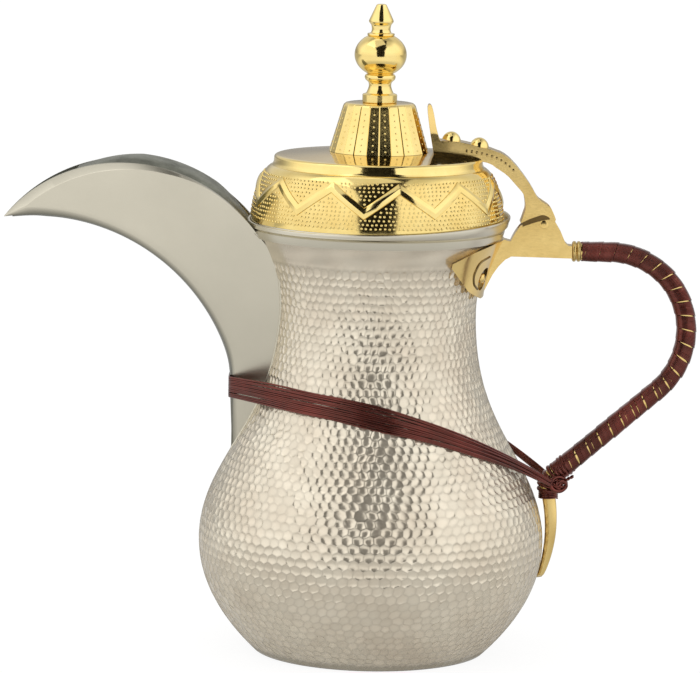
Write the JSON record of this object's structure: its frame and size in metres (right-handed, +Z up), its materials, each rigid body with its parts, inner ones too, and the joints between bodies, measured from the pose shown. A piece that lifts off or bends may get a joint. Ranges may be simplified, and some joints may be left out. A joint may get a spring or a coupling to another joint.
{
  "type": "dallah coffee pot",
  "caption": "Hammered silver dallah coffee pot with a crescent spout, a hinged gilt lid with a tall finial and a wire-bound handle.",
  "frame": {"origin": "middle of the base, on the table", "axes": "+Z up, +X from the pot's axis towards the handle, -X towards the spout, +Y to the pot's far side as the picture shows it"},
  "size_m": [0.3206, 0.1598, 0.3],
  "materials": {
    "hammered_silver": "silver-plated brass sheet, hammered all over",
    "smooth_silver": "silver-plated brass sheet, smooth and polished",
    "gilt_brass": "gilt brass, polished, with punched ornament",
    "cast_brass": "cast yellow brass, filed and polished",
    "copper_wire": "darkened copper wire"
  },
  "bodies": {
    "pot": {"body_shell": "hammered_silver", "base_plate": "smooth_silver", "rim_band": "smooth_silver", "spout_near_wall": "smooth_silver", "spout_far_wall": "smooth_silver", "spout_keel": "smooth_silver", "spout_cover": "smooth_silver", "hinge_bracket": "cast_brass", "bracket_rivets": "cast_brass", "hinge_pin": "cast_brass", "handle_bar": "cast_brass", "grip_ferrule": "cast_brass", "grip_winding": "copper_wire", "tie_wires": "copper_wire", "tie_binding": "copper_wire"},
    "lid": {"lid_skirt": "gilt_brass", "lid_cap": "gilt_brass", "lid_collar": "gilt_brass", "lid_tower": "gilt_brass", "finial": "gilt_brass", "finial_stud": "cast_brass", "stud_washer": "cast_brass", "stud_nut": "cast_brass", "lid_arm": "cast_brass", "arm_rivets": "gilt_brass"}
  },
  "joints": [
    {"name": "lid_hinge", "type": "hinge", "parent": "pot", "child": "lid", "pos_m": [0.0768, 0, 0.2003], "axis": [0, 1, 0], "range_deg": [0, 100]}
  ]
}
